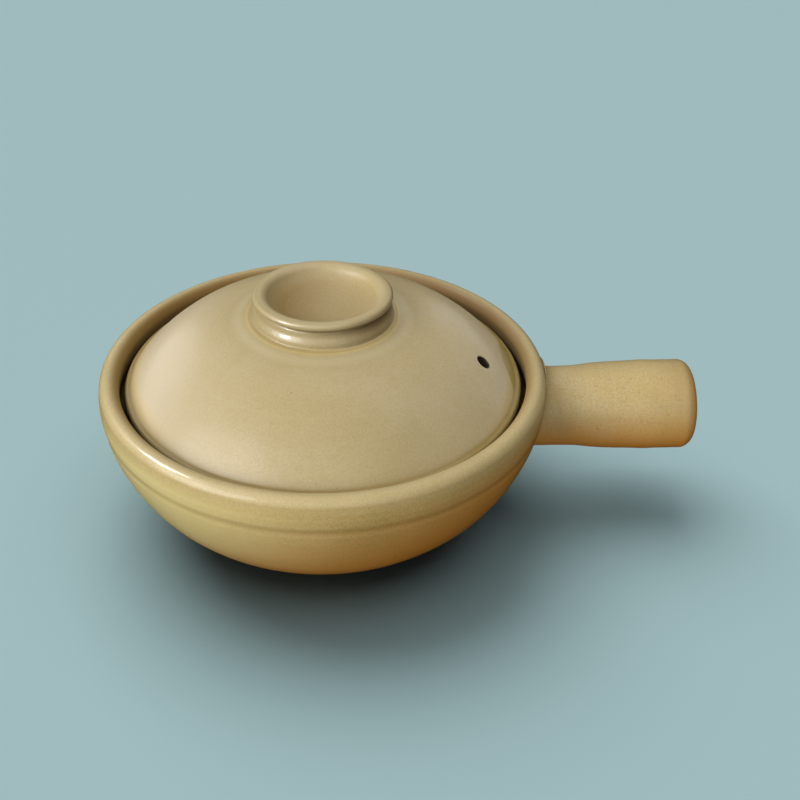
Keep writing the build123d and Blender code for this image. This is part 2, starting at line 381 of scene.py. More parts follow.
def handle_section(phi):
    """The handle's outline at an angle round its axis, in points of (distance from the pot's axis, radius).

    Returns the round into the bowl's wall, the swelling line, the end with the bore, and the root's point
    inside the wall."""
    root = handle_wall(0, 0)
    length = handle_end - root
    shares = handle_swell_shares
    body = through([(root + s * length, handle_neck + part * handle_swell) for s, part in shares], 10)
    body = ringed(body, handle_rings, seed=21.0)
    wall = handle_wall(handle_neck, phi)
    spread = handle_wall(handle_neck + handle_blend, phi)
    start, shoulder = wall + handle_blend, handle_end - handle_end_round
    blend = bent((spread, handle_neck + handle_blend), (wall, handle_neck), (start, handle_neck), 12)
    body = [(x, rho) for x, rho in body if start + handle_clear < x < shoulder - handle_clear]
    end_radius = handle_neck + shares[-1][1] * handle_swell
    outer = arc((shoulder, end_radius - handle_end_round), handle_end_round, 90, 0, 12)
    lip_low = handle_bore_end + handle_lip_round
    face = straight(outer[-1], (handle_end, lip_low), 3)
    inner = arc((handle_end - handle_lip_round, lip_low), handle_lip_round, 0, -90, 6)
    bore_wall = handle_wall(handle_bore_root, phi) - handle_sink
    bore = ringed(straight(inner[-1], (bore_wall, handle_bore_root), 40), handle_rings_bore, seed=33.0)
    return blend, body, [*outer, *face[1:], *inner[1:], *bore[1:]], (spread - handle_sink, blend[0][1])


def make_handle(name):
    """The handle's tube, rounded into the bowl, with its root just inside the bowl's wall."""
    columns = []
    for j in range(handle_columns):
        phi = 2 * math.pi * j / handle_columns
        blend, body, rest, sunk = handle_section(phi)
        body = evenly([blend[-1], *body, rest[0]], handle_steps)
        columns.append((phi, [sunk, *blend, *body[1:-1], *rest]))
    rows = len(columns[0][1])
    vertices = []
    for phi, column in columns:
        for x, rho in column:
            stray = 1 + handle_oval * math.sin(2 * phi + x / handle_oval_turn)
            y = rho * stray * math.sin(phi)
            z = handle_height + rho * math.cos(phi)
            near_end = share(x - handle_end + handle_slant_length, handle_slant_length)
            slant = handle_end_slant * near_end**2 * (z - handle_low[2])
            vertices.append(Vector((x - slant, y, z)))
    faces = []
    for j in range(handle_columns):
        k = (j + 1) % handle_columns
        for i in range(rows):
            n = (i + 1) % rows
            faces.append((j * rows + i, k * rows + i, k * rows + n, j * rows + n))
    return finish_mesh(name, vertices, faces)


def evenly(points, count):
    """count + 1 points at even distances along a line."""
    lengths = [0.0]
    for a, b in zip(points, points[1:]):
        lengths.append(lengths[-1] + math.dist(a, b))
    line, k = [], 0
    for i in range(count + 1):
        want = lengths[-1] * i / count
        while k < len(points) - 2 and lengths[k + 1] < want:
            k += 1
        t = (want - lengths[k]) / (lengths[k + 1] - lengths[k])
        line.append(tuple(points[k][m] + (points[k + 1][m] - points[k][m]) * t for m in (0, 1)))
    return line


def plain_dome(radius):
    """Height of the lid's dome, without the rise to the knob's foot."""
    return lid_middle + dome_rise * (1 - (radius / dome_radius) ** dome_power)


def dome_height(radius):
    """Height of the lid's outside, with that rise."""
    near = share(fillet_start - radius, fillet_start - knob_foot_radius)
    return plain_dome(radius) + fillet_rise * near**2


def dome_lean(radius):
    """How far the dome's outward direction leans over from upright."""
    return math.atan(dome_rise * dome_power * (radius / dome_radius) ** (dome_power - 1) / dome_radius)


def under_dome(radius):
    """A point of the lid's underside, below a point of its outside."""
    lean = dome_lean(radius)
    return radius - lid_wall * math.sin(lean), plain_dome(radius) - lid_wall * math.cos(lean)


def lid_outline():
    """From the crown, out over the dome, round the edge and collar and back under to the axis."""
    radii = [dome_foot * i / dome_steps for i in range(dome_steps + 1)]
    dome = ringed([(r, dome_height(r)) for r in radii], lid_rings, seed=14.0)
    crease = (dome_foot + crease_width, dome[-1][1] - crease_depth)
    roll_bend = (lid_radius, crease[1] - crease_depth)
    roll = bent(crease, roll_bend, (lid_radius, crease[1] - lid_roll_drop), 12)
    edge_centre = (lid_radius - lid_edge_round, lid_bottom + lid_edge_round)
    edge = arc(edge_centre, lid_edge_round, 0, -90, 8)
    ledge = straight(edge[-1], (collar_radius + collar_corner, lid_bottom), 5)
    step = arc((collar_radius + collar_corner, lid_bottom - collar_corner), collar_corner, 90, 180, 4)
    low = lid_collar_foot + collar_round
    outer_foot = arc((collar_radius - collar_round, low), collar_round, 0, -90, 5)
    inner = collar_radius - collar_width
    inner_foot = arc((inner + collar_round, low), collar_round, -90, -180, 5)
    under = [under_dome(collar_radius * (1 - i / under_steps)) for i in range(under_steps + 1)]
    under = [(max(r, 0), z) for r, z in ringed(under, lid_rings_under, seed=17.0)]
    up_bend = (inner + collar_root_bend[0], under[0][1] - collar_root_bend[1])
    up = bent(inner_foot[-1], up_bend, under[0], 12)
    return joined(dome, roll, edge, ledge, step, outer_foot, inner_foot, up, under)


def nearest_ring(rings, reach, height):
    """The ring of a turned grid that comes nearest to a distance from the axis and a height."""
    gaps = [math.dist((math.hypot(ring[0].x, ring[0].y), ring[0].z), (reach, height)) for ring in rings]
    return gaps.index(min(gaps))


def surface_drop(point, direction, line):
    """The point moved along direction onto the surface that a line of (radius, height) points turns out."""
    def gap(t):
        p = point + direction * t
        radius = math.hypot(p.x, p.y)
        for (r0, z0), (r1, z1) in zip(line, line[1:]):
            if min(r0, r1) <= radius <= max(r0, r1):
                return p.z - (z0 + (z1 - z0) * (radius - r0) / (r1 - r0))
        raise ValueError("the point is off the surface")

    low, high = -drop_reach, drop_reach
    for _ in range(drop_halvings):
        middle = (low + high) / 2
        if (gap(low) < 0) == (gap(middle) < 0):
            low = middle
        else:
            high = middle
    return point + direction * middle


def vent_mouth(vertices, rings, row, outward, off_clay):
    """The loops of vertices that lead from the open cells round a mouth down into the hole.

    outward is the hole's direction out of the lid, and off_clay points from the clay on this side. Returns
    the loops as places in vertices, the first on the grid itself and the last on the hole's wall."""
    centre = rings[row][0]
    nearby = rings[row - vent_nearby:row + vent_nearby + 1]
    line = [(math.hypot(ring[0].x, ring[0].y), ring[0].z) for ring in nearby]
    corners = [(-vent_rows, -vent_columns), (vent_rows, -vent_columns), (vent_rows, vent_columns),
               (-vent_rows, vent_columns)]
    border = []
    for (i0, j0), (i1, j1) in zip(corners, corners[1:] + corners[:1]):
        count = max(abs(i1 - i0), abs(j1 - j0))
        border += [(i0 + (i1 - i0) * k // count, j0 + (j1 - j0) * k // count) for k in range(count)]
    indices = [at(row + i, j) for i, j in border]
    loops = [indices]
    arms = []
    for index in indices:
        arm = vertices[index] - centre
        arms.append(arm - outward * arm.dot(outward))
    mouth = vent_radius + vent_round
    for part in vent_loop_shares:
        loop = []
        for arm in arms:
            reach = mouth + (arm.length - mouth) * part
            place = surface_drop(centre + arm.normalized() * reach, outward, line)
            loop.append(len(vertices))
            vertices.append(place)
        loops.append(loop)
    edge = [vertices[k].copy() for k in loops[-1]]
    for turn in vent_round_turns:
        bend = math.radians(turn)
        loop = []
        for arm, top in zip(arms, edge):
            inwards = -arm.normalized() * vent_round * math.sin(bend)
            loop.append(len(vertices))
            vertices.append(top + inwards - off_clay * vent_round * (1 - math.cos(bend)))
        loops.append(loop)
    return loops


def vent_centre():
    """The middle of the steam hole, halfway down the lid's wall."""
    under_radius, under_height = under_dome(vent_reach)
    radius = (vent_reach + under_radius) / 2
    height = (dome_height(vent_reach) + under_height) / 2
    return Vector((radius * math.cos(vent_angle), radius * math.sin(vent_angle), height))


def make_lid(name):
    """The lid, with its steam hole's rounded mouths on both sides."""
    poles, rings = turned_grid(lid_outline(), seed=40.0, first_angle=vent_angle)
    vertices = grid_vertices(poles, rings)
    lean = dome_lean(vent_reach)
    outward = Vector((
        math.sin(lean) * math.cos(vent_angle), math.sin(lean) * math.sin(vent_angle), math.cos(lean)
    ))
    top_row = nearest_ring(rings, vent_reach, dome_height(vent_reach))
    under_row = nearest_ring(rings, *under_dome(vent_reach))
    faces, skip, mouths = [], set(), []
    for row, off_clay in ((top_row, outward), (under_row, -outward)):
        skip |= {
            (i, j % turns)
            for i in range(row - vent_rows, row + vent_rows)
            for j in range(-vent_columns, vent_columns)
        }
        mouths.append(vent_mouth(vertices, rings, row, outward, off_clay))
    for loops in mouths:
        for outer, inner in zip(loops, loops[1:]):
            faces += bridge(outer, inner)
    upper, lower = mouths[0][-1], mouths[1][-1]
    faces += bridge(upper, matched(vertices, upper, lower))
    return finish_mesh(name, vertices, [*grid_faces(len(rings), skip), *faces])


def bridge(first, second):
    """Faces between two closed loops of vertices."""
    count = len(first)
    return [(first[k], first[(k + 1) % count], second[(k + 1) % count], second[k]) for k in range(count)]


def matched(vertices, first, second):
    """The second loop in the order and direction that lies nearest to the first."""
    count = len(first)
    best = None
    for order in (second, second[::-1]):
        for shift in range(count):
            turned = order[shift:] + order[:shift]
            far = sum((vertices[a] - vertices[b]).length for a, b in zip(first, turned))
            if best is None or far < best[0]:
                best = (far, turned)
    return best[1]


def knob_outline():
    """From the middle of the hollow, up over the lip, down the waist and foot and back under."""
    lip_centre = (knob_lip_radius - knob_lip_round, knob_top - knob_lip_round)
    mouth_centre = (lip_centre[0] - knob_lip_flat, knob_top - knob_mouth_round)
    mouth = arc(mouth_centre, knob_mouth_round, 90 + math.degrees(knob_mouth_slope), 90, 14)
    side_run = (mouth[0][1] - knob_floor) / math.tan(knob_mouth_slope)
    hollow = bent((0, knob_floor), (mouth[0][0] - side_run, knob_floor), mouth[0], 40)
    top = straight(mouth[-1], (lip_centre[0], knob_top), 4)
    outer_lip = arc(lip_centre, knob_lip_round, 90, -80, 14)
    step_in = knob_foot_radius - knob_waist_radius
    foot = [
        (knob_foot_radius - step_in * inward, knob_crown + knob_waist_height * up)
        for inward, up in reversed(knob_foot_shares)
    ]
    waist = (knob_waist_radius, knob_crown + knob_waist_height)
    side = through([outer_lip[-1], waist, *foot, (knob_foot_radius, knob_crown + knob_edge)], 8)
    under = straight((knob_foot_radius - knob_edge, knob_crown), (0, knob_crown), 12)
    return joined(hollow, mouth, top, outer_lip, side, under)


def make_knob(name):
    """The cup-shaped knob, with the spiral that a finger left in it and its lip a little off level."""
    poles, rings = turned_grid(knob_outline(), seed=60.0)
    for ring in rings:
        for v in ring:
            up = share(v.z - knob_crown, knob_top - knob_crown)
            v.z += -v.y * math.tan(knob_tilt) * up
            radius = math.hypot(v.x, v.y)
            if radius < spiral_outer and v.z > spiral_lowest:
                turn = math.atan2(v.y, v.x) / (2 * math.pi)
                uneven = noise.noise(Vector((radius / spiral_drift, 2.0, 0.0)))
                phase = radius / (spiral_pitch * (1 + spiral_uneven * uneven)) - turn
                fade = share(radius, spiral_inner) * share(spiral_outer - radius, spiral_fade)
                v.z += spiral_height * fade * math.sin(2 * math.pi * phase)
    return finish_mesh(name, grid_vertices(poles, rings), grid_faces(len(rings)))


def linear(red, green, blue):
    """A colour given as it looks on screen, from 0 to 255, in the values that shaders take.

    The numbers are those of the usual curve between the two."""
    return tuple(
        c / 12.92 / 255 if c <= 10.3 else ((c / 255 + 0.055) / 1.055) ** 2.4 for c in (red, green, blue)
    ) + (1.0,)


class Shader:
    """A material's node tree with short calls for the nodes that the finishes here use."""

    first_colour, second_colour, mixed_colour = 6, 7, 2     # a Mix node's sockets for colours

    def __init__(self, name):
        self.material = bpy.data.materials.new(name)
        self.material.use_nodes = True
        self.tree = self.material.node_tree
        self.shader = self.tree.nodes["Principled BSDF"]
        self.place = self.tree.nodes.new("ShaderNodeTexCoord").outputs["Object"]

    def link(self, value, socket):
        """Sets a socket, or links an output to it."""
        if isinstance(value, bpy.types.NodeSocket):
            self.tree.links.new(value, socket)
        else:
            socket.default_value = value

    def math(self, operation, first, second=0.0, third=0.0):
        """The result of a sum on up to three values."""
        node = self.tree.nodes.new("ShaderNodeMath")
        node.operation = operation
        for value, socket in zip((first, second, third), node.inputs):
            self.link(value, socket)
        return node.outputs[0]

    def times(self, first, second):
        """One value times another."""
        return self.math("MULTIPLY", first, second)

    def axes(self):
        """The object's own x, y and z."""
        node = self.tree.nodes.new("ShaderNodeSeparateXYZ")
        self.link(self.place, node.inputs[0])
        return node.outputs

    def vector(self, x, y, z):
        """A vector from three values."""
        node = self.tree.nodes.new("ShaderNodeCombineXYZ")
        for value, socket in zip((x, y, z), node.inputs):
            self.link(value, socket)
        return node.outputs[0]

    def cloud(self, scale, detail=2.0, roughness=0.5, where=None, distortion=0.0):
        """Soft noise from 0 to 1. scale is about how many of its spots fit into a metre."""
        node = self.tree.nodes.new("ShaderNodeTexNoise")
        self.link(where or self.place, node.inputs["Vector"])
        node.inputs["Scale"].default_value = scale
        node.inputs["Detail"].default_value = detail
        node.inputs["Roughness"].default_value = roughness
        node.inputs["Distortion"].default_value = distortion
        return node.outputs["Fac"]

    def ramp(self, value, low, high, start=0.0, stop=1.0):
        """value from low to high as start to stop, eased at both ends and held outside."""
        node = self.tree.nodes.new("ShaderNodeMapRange")
        node.interpolation_type = "SMOOTHSTEP"
        for given, socket in zip((value, low, high, start, stop), node.inputs):
            self.link(given, socket)
        return node.outputs["Result"]

    def mix(self, part, first, second):
        """The first colour with a part of it, from 0 to 1, given over to the second."""
        node = self.tree.nodes.new("ShaderNodeMix")
        node.data_type = "RGBA"
        self.link(part, node.inputs["Factor"])
        self.link(first, node.inputs[self.first_colour])
        self.link(second, node.inputs[self.second_colour])
        return node.outputs[self.mixed_colour]

    def specks(self, scale, size, part):
        """1 inside scattered small dots, 0 outside. part is how many of the places hold one, from 0 to 1."""
        node = self.tree.nodes.new("ShaderNodeTexVoronoi")
        self.link(self.place, node.inputs["Vector"])
        node.inputs["Scale"].default_value = scale
        inside = self.ramp(node.outputs["Distance"], size, size * 0.5)
        split = self.tree.nodes.new("ShaderNodeSeparateColor")
        self.link(node.outputs["Color"], split.inputs[0])
        return self.times(inside, self.math("LESS_THAN", split.outputs[0], part))

    def bump(self, height, distance, normal=None):
        """Relief that is distance high where height is 1, on top of the relief in normal."""
        node = self.tree.nodes.new("ShaderNodeBump")
        node.inputs["Distance"].default_value = distance
        self.link(height, node.inputs["Height"])
        if normal is not None:
            self.link(normal, node.inputs["Normal"])
        return node.outputs["Normal"]


# Colours of the glaze, as they look in plain light, and colours for painted shade and sheen on it
ochre = linear(196, 171, 114)
olive = linear(182, 160, 100)
khaki = linear(186, 168, 126)
straw = linear(180, 161, 112)
painted_sheen_pink = linear(210, 194, 166)
pale = linear(222, 212, 152)
painted_shade_moss = linear(160, 138, 72)
umber = linear(104, 62, 26)
cream = linear(207, 194, 153)
gold = linear(206, 182, 118)
amber = linear(150, 118, 58)
toast = linear(218, 148, 52)
iron = linear(74, 50, 30)
clay = linear(206, 178, 140)
painted_shade_black = linear(34, 25, 16)
clay_roughness = 0.85


class Glaze(Shader):
    """A satin glaze over buff clay.

    main and cast are its two shades, and thin is how it looks where it is thin. grain and rings are how
    strongly its fine grain and the throwing rings show. turned is for rings that run round the pot's axis."""

    def __init__(self, name, main, cast, thin, grain=1.0, rings=1.0, turned=True):
        super().__init__(name)
        self.grain = grain
        self.rings = rings
        self.x, self.y, self.z = self.axes()
        squares = self.math("ADD", self.times(self.x, self.x), self.times(self.y, self.y))
        self.reach = self.math("SQRT", squares)
        along = self.vector(self.reach, 0.0, self.z) if turned else self.vector(self.x, 0.0, 0.0)
        self.broad = self.cloud(16.0, detail=3.0, roughness=0.55, distortion=0.6)
        self.lines = self.cloud(420.0, detail=3.0, roughness=0.6, where=along)
        self.mottle = self.cloud(230.0)
        self.fine = self.cloud(1100.0, detail=3.0, roughness=0.7)
        self.colour = self.mix(self.ramp(self.broad, 0.36, 0.68), main, cast)
        self.layer(self.ramp(self.lines, 0.45, 0.75, 0.0, 0.25 * rings), thin)
        self.layer(self.ramp(self.mottle, 0.48, 0.70, 0.0, 0.35), cast)
        self.layer(self.ramp(self.fine, 0.48, 0.70, 0.0, 0.36 * grain), amber)
        self.layer(self.ramp(self.fine, 0.52, 0.32, 0.0, 0.36 * grain), thin)

    def layer(self, part, colour):
        """Lays a colour over what is there, as thick as part says, from 0 to 1."""
        self.colour = self.mix(part, self.colour, colour)

    def away(self, point):
        """Distance from a point."""
        node = self.tree.nodes.new("ShaderNodeVectorMath")
        node.operation = "DISTANCE"
        self.link(self.place, node.inputs[0])
        self.link(point, node.inputs[1])
        return node.outputs["Value"]

    def band(self, value, middle, reach, strength, colour):
        """A soft band of colour where value comes within reach of middle."""
        far = self.math("ABSOLUTE", self.math("SUBTRACT", value, middle))
        self.layer(self.ramp(far, reach, 0.0, 0.0, strength), colour)

    def warmed(self, low, high, lean=0.0, strength=0.8, where=1.0):
        """Toasts the glaze from the height high down to low, partly as painted warm shade of the low parts.
        lean raises both heights on the handle's side, and where is 1 where it may be toasted and 0 elsewhere."""
        height = self.math("MULTIPLY_ADD", self.x, -lean, self.z)
        height = self.math("MULTIPLY_ADD", self.broad, 12 * MM, height)
        below_rim = self.times(self.ramp(self.z, rim_top - 2 * MM, rim_top - 18 * MM), where)
        self.layer(self.times(self.ramp(height, low, high, strength, 0.0), below_rim), toast)

    def finish(self, coat, coat_roughness, roughness, bare=None, dry=None):
        """Adds specks, relief and gloss. bare is the height below which the clay has no glaze, and dry is
        where the glaze is dull, from 0 to 1."""
        small = self.specks(240.0, size=0.11, part=0.14)
        large = self.specks(70.0, size=0.05, part=0.08)
        self.layer(self.times(small, 0.40 * self.grain), iron)
        self.layer(self.times(large, 0.75 * self.grain), iron)
        rough = self.ramp(self.cloud(40.0, detail=4.0), 0.3, 0.7, roughness - 0.05, roughness + 0.06)
        if dry is not None:
            rough = self.math("MULTIPLY_ADD", dry, 0.3, rough)
        relief = self.bump(self.lines, 0.10 * self.rings * MM)
        relief = self.bump(self.mottle, 0.05 * MM, relief)
        relief = self.bump(self.fine, 0.035 * MM, relief)
        relief = self.bump(self.times(self.math("ADD", small, large), -1.0), 0.06 * MM, relief)
        if bare is not None:
            edge = self.math("MULTIPLY_ADD", self.cloud(60.0), 1.2 * MM, self.z)
            covered = self.ramp(edge, bare, bare + glaze_edge)
            grit = self.cloud(1500.0, detail=4.0, roughness=0.7)
            self.colour = self.mix(covered, self.mix(self.ramp(grit, 0.3, 0.7), clay, toast), self.colour)
            clay_rough = self.math("MULTIPLY_ADD", covered, -clay_roughness, clay_roughness)
            rough = self.math("ADD", self.times(rough, covered), clay_rough)
            relief = self.bump(self.times(grit, self.math("SUBTRACT", 1.0, covered)), 0.15 * MM, relief)
            coat = self.times(covered, coat)
        self.link(self.colour, self.shader.inputs["Base Color"])
        self.link(rough, self.shader.inputs["Roughness"])
        self.link(relief, self.shader.inputs["Normal"])
        self.link(coat, self.shader.inputs["Coat Weight"])
        self.shader.inputs["Coat Roughness"].default_value = coat_roughness
        self.shader.inputs["IOR"].default_value = 1.5
        return self.material


def bowl_glaze():
    """Ochre, painted lighter on the left, paler on the rim, pooled in the turned line, toasted below with
    painted warm shade, and painted shade inside the rim and in the throat.
    """
    g = Glaze("bowl glaze", ochre, olive, cream)
    below_rim = g.ramp(g.z, rim_top - 3 * MM, rim_top - 11 * MM)
    # Painted light: the outside below the rim is lightened towards the left, where the key lamp falls
    g.layer(g.times(g.ramp(g.x, 20 * MM, -90 * MM, 0.0, 0.8), below_rim), pale)
    # Paler on the rim where the glaze thins, and partly painted light on the rim's upward face
    g.layer(g.ramp(g.z, rim_top - 10 * MM, rim_top - 1 * MM, 0.0, 0.35), cream)
    # 1 outside the middle of the wall, so that the toasting and its painted warm shade stay off the inside
    across = g.math("POWER", g.times(g.reach, 1 / (belly_radius - bowl_wall / 2)), belly_side_power)
    down = g.math("MAXIMUM", g.math("SUBTRACT", belly_height, g.z), 0.0)
    down = g.math("POWER", g.times(down, 1 / (belly_height - bowl_floor / 2)), belly_floor_power)
    outside = g.ramp(g.math("ADD", across, down), 0.97, 1.04)
    # Toasted low down and higher on the handle's side, partly as painted warm shade of the low, shaded side
    g.warmed(14 * MM, 76 * MM, lean=0.36, strength=0.85, where=outside)
    g.band(g.z, groove_height + 0.3 * MM, 3.4 * MM, 0.26, amber)
    above_seat = g.ramp(g.z, seat_height - 14 * MM, seat_height - 12 * MM)
    throat = g.times(g.ramp(g.reach, throat_radius + 1.4 * MM, throat_radius + 0.4 * MM), above_seat)
    inner = g.times(g.ramp(g.reach, throat_radius + rim_thickness / 2, throat_radius), above_seat)
    # Painted shade: the rim's inside is darkened, least at the front and most at the back, where the lid
    # shades it
    g.layer(g.times(inner, g.ramp(g.y, -90 * MM, -20 * MM, 0.2, 0.85)), amber)
    g.layer(g.times(inner, g.ramp(g.y, 0.0, 60 * MM, 0.0, 0.3)), umber)
    # Painted shadow: the throat is darkened towards near black deeper down, where the gap round the lid is in
    # deep shade
    g.layer(g.times(throat, g.ramp(g.z, rim_top - 7 * MM, rim_top - 12 * MM, 0.0, 0.75)), painted_shade_black)
    coat = g.math("MULTIPLY_ADD", inner, -0.5, 0.5)
    return g.finish(coat, coat_roughness=0.10, roughness=0.46, bare=glaze_line, dry=inner)


def handle_glaze():
    """The bowl's glaze with olive clouds, toasted underneath and round the open end, where painted shade also
    darkens it.
    """
    g = Glaze("handle glaze", ochre, khaki, cream, turned=False)
    # Painted shade: darker towards the open end, which faces away from the key lamp
    g.layer(g.ramp(g.x, handle_end - 24 * MM, handle_end - 3 * MM, 0.0, 0.4), amber)
    g.layer(g.ramp(g.cloud(38.0), 0.48, 0.62, 0.0, 0.35), olive)
    # Toasted low down, partly as painted warm shade; the end's edge and the underside get painted brown shade
    g.warmed(36 * MM, 68 * MM, strength=0.95)
    g.layer(g.ramp(g.x, handle_end - 5 * MM, handle_end - 1 * MM, 0.0, 0.8), toast)
    g.layer(g.ramp(g.x, handle_end - 3 * MM, handle_end, 0.0, 0.35), umber)
    g.layer(g.ramp(g.z, handle_low[2] + 9 * MM, handle_low[2], 0.0, 0.45), umber)
    return g.finish(coat=0.3, coat_roughness=0.2, roughness=0.5)


def lid_glaze():
    """A paler, drier glaze: a painted pink sheen on the left, golden near the edge, olive painted shade along
    it, pooled round the knob, with a painted highlight ring beside it and painted shade in the steam hole and
    under the edge.
    """
    g = Glaze("lid glaze", khaki, straw, cream, grain=0.5, rings=0.35)
    uneven = g.math("MULTIPLY_ADD", g.cloud(11.0, detail=1.0), -9.0 * MM, g.reach)
    # Painted reflection: a pale pink sheen on the left of the dome
    g.layer(g.ramp(g.x, -30 * MM, -80 * MM, 0.0, 0.5), painted_sheen_pink)
    # Golden near the edge; on the right it is also painted light for the side that faces away from the key
    # lamp
    near_edge = g.ramp(uneven, 79.0 * MM, 84.0 * MM)
    g.layer(g.times(near_edge, g.ramp(g.x, 66 * MM, 84 * MM, 0.0, 0.3)), gold)
    g.layer(g.times(near_edge, g.ramp(g.x, -66 * MM, -84 * MM, 0.0, 0.5)), gold)
    # A band of painted shade and dark reflection along the edge on the handle's side, which narrows to both
    # ends
    beside = g.math("ABSOLUTE", g.math("SUBTRACT", g.y, 4 * MM))
    band_start = g.ramp(beside, 3 * MM, 28 * MM, 84.5 * MM, dome_foot)
    past_start = g.math("SUBTRACT", g.reach, band_start)
    handle_side = g.ramp(g.x, 50 * MM, 70 * MM)
    g.layer(g.times(g.ramp(past_start, -0.8 * MM, 0.8 * MM, 0.0, 0.9), handle_side), painted_shade_moss)
    # Painted shade on the rolled edge and in the crease at the dome's foot
    g.layer(g.ramp(g.reach, dome_foot - 1.4 * MM, dome_foot + 0.6 * MM, 0.0, 0.6), painted_shade_moss)
    g.band(g.reach, dome_foot + 0.5 * MM, 1.1 * MM, 0.5, amber)
    g.band(g.reach, knob_foot_radius + 0.8 * MM, 2.2 * MM, 0.6, gold)
    g.band(g.reach, knob_foot_radius + 0.4 * MM, 0.9 * MM, 0.35, amber)
    # Painted highlight: a pale ring just outside the knob's foot
    g.band(g.reach, knob_foot_radius + 5.5 * MM, 4.0 * MM, 0.35, cream)
    # Painted shade: the steam hole's wall is darkened to near black
    hole = g.away(vent_centre())
    g.layer(g.ramp(hole, vent_radius + 1.4 * MM, vent_radius + 0.9 * MM, 0.0, 0.92), painted_shade_black)
    # Painted shade: the underside below the rolled edge is darkened, so the gap round the lid looks deep
    outermost = g.ramp(g.reach, collar_radius, collar_radius + 2 * MM)
    under_roll = g.ramp(g.z, lid_middle + 1.0 * MM, lid_middle - 1.5 * MM, 0.0, 0.7)
    g.layer(g.times(outermost, under_roll), painted_shade_black)
    return g.finish(coat=0.35, coat_roughness=0.2, roughness=0.46, bare=lid_bottom + 0.4 * MM)


def knob_glaze():
    """The lid's glaze, glassier outside, pale towards the lip, deeper at the foot and in the hollow, with
    painted shade darkening the hollow's left, the right side and under the lip there."""
    g = Glaze("knob glaze", khaki, straw, cream, grain=0.5, rings=0.5)
    g.layer(g.ramp(g.z, knob_crown + 9 * MM, knob_top, 0.0, 0.25), cream)
    g.layer(g.ramp(g.z, knob_crown + 2.4 * MM, knob_crown, 0.0, 0.5), gold)
    g.layer(g.ramp(g.z, knob_crown + 1.0 * MM, knob_crown, 0.0, 0.4), amber)
    # This is smaller in the hollow than on the outside
    lean_in = g.math("SUBTRACT", g.reach, g.math("SUBTRACT", g.z, knob_crown))
    inner = g.ramp(lean_in, 18.5 * MM, 16.0 * MM)
    hollow = g.times(g.ramp(lean_in, 17.5 * MM, 12.5 * MM), g.ramp(g.z, knob_top, knob_top - 5 * MM))
    # Glaze pooled in the hollow, darkened more towards the left wall as painted shade
    g.layer(g.times(hollow, g.ramp(g.x, 10 * MM, -22 * MM, 0.25, 0.72)), amber)
    # Painted shade on the right side of the outside, deeper under the lip there
    right = g.times(g.ramp(g.x, 6 * MM, 26 * MM), g.math("SUBTRACT", 1.0, inner))
    under_lip = g.ramp(g.z, knob_top - 2.2 * MM, knob_top - 4.2 * MM)
    under_lip = g.times(under_lip, g.ramp(g.z, knob_top - 8.5 * MM, knob_top - 6.0 * MM))
    g.layer(g.times(right, 0.25), amber)
    g.layer(g.times(right, g.times(under_lip, 0.5)), umber)
    return g.finish(g.math("MULTIPLY_ADD", inner, -0.5, 0.5), coat_roughness=0.07, roughness=0.46)


def dress(piece, body, node, material):
    """Puts a finished piece in its CAD node's place."""
    piece.data.materials.append(material)
    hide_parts(node)
    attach(piece, body)


def make_pot():
    """The four pieces, each in its node's place. Returns the lid and knob, which have lamps of their own."""
    bowl = make_turned("bowl_thrown", bowl_outline(), seed=20.0)
    dress(bowl, "pot", "bowl", bowl_glaze())
    dress(make_handle("handle_thrown"), "pot", "hollow_handle", handle_glaze())
    lid, knob = make_lid("lid_thrown"), make_knob("knob_thrown")
    dress(lid, "lid", "lid", lid_glaze())
    dress(knob, "lid", "cup_knob", knob_glaze())
    return lid, knob


# Room: a pale floor, its backdrop colour, soft lamps and the camera
floor_colour = linear(158, 186, 189)
floor_light = 0.655                          # share of full light that the floor gets
floor_paint = (*(c / floor_light for c in floor_colour[:3]), 1.0)
bounce_colour = linear(72, 68, 60)           # the floor's colour for the light that it throws back
floor_size = 24.0
floor_drop = 0.05 * MM                       # keeps it clear of the pot's foot
fill_colour = linear(240, 243, 246)
fill_strength = 0.03
cool, warm = (0.92, 0.94, 1.0), (1.0, 0.82, 0.5)
camera_sensor = 36.0                         # its width and the lens, in mm
camera_lens = 60.0
camera_back = 0.5314                         # in front of the pot's axis and above the rim
camera_above_rim = 0.3393
camera_right = Vector((0.9982, -0.0568, 0.0168))
camera_up = Vector((0.0179, 0.5605, 0.8279))


def make_floor():
    """A large flat floor that only the overhead lamps light."""
    half, low = floor_size / 2, -floor_drop
    corners = [(-half, -half, low), (half, -half, low), (half, half, low), (-half, half, low)]
    floor = finish_mesh("floor", corners, [(0, 1, 2, 3)])
    s = Shader("floor")
    rays = s.tree.nodes.new("ShaderNodeLightPath")
    s.link(s.mix(rays.outputs["Is Camera Ray"], bounce_colour, floor_paint), s.shader.inputs["Base Color"])
    s.shader.inputs["Roughness"].default_value = 0.9
    s.shader.inputs["Specular IOR Level"].default_value = 0.1
    floor.data.materials.append(s.material)
    return floor


def make_world():
    """A dim, even fill, and the backdrop's colour where the camera looks past the floor."""
    world = bpy.data.worlds.new("room")
    bpy.context.scene.world = world
    world.use_nodes = True
    tree = world.node_tree
    fill = tree.nodes["Background"]
    fill.inputs["Color"].default_value = fill_colour
    fill.inputs["Strength"].default_value = fill_strength
    seen = tree.nodes.new("ShaderNodeBackground")
    seen.inputs["Color"].default_value = floor_colour
    rays = tree.nodes.new("ShaderNodeLightPath")
    mix = tree.nodes.new("ShaderNodeMixShader")
    tree.links.new(rays.outputs["Is Camera Ray"], mix.inputs["Fac"])
    tree.links.new(fill.outputs[0], mix.inputs[1])
    tree.links.new(seen.outputs[0], mix.inputs[2])
    tree.links.new(mix.outputs[0], tree.nodes["World Output"].inputs["Surface"])


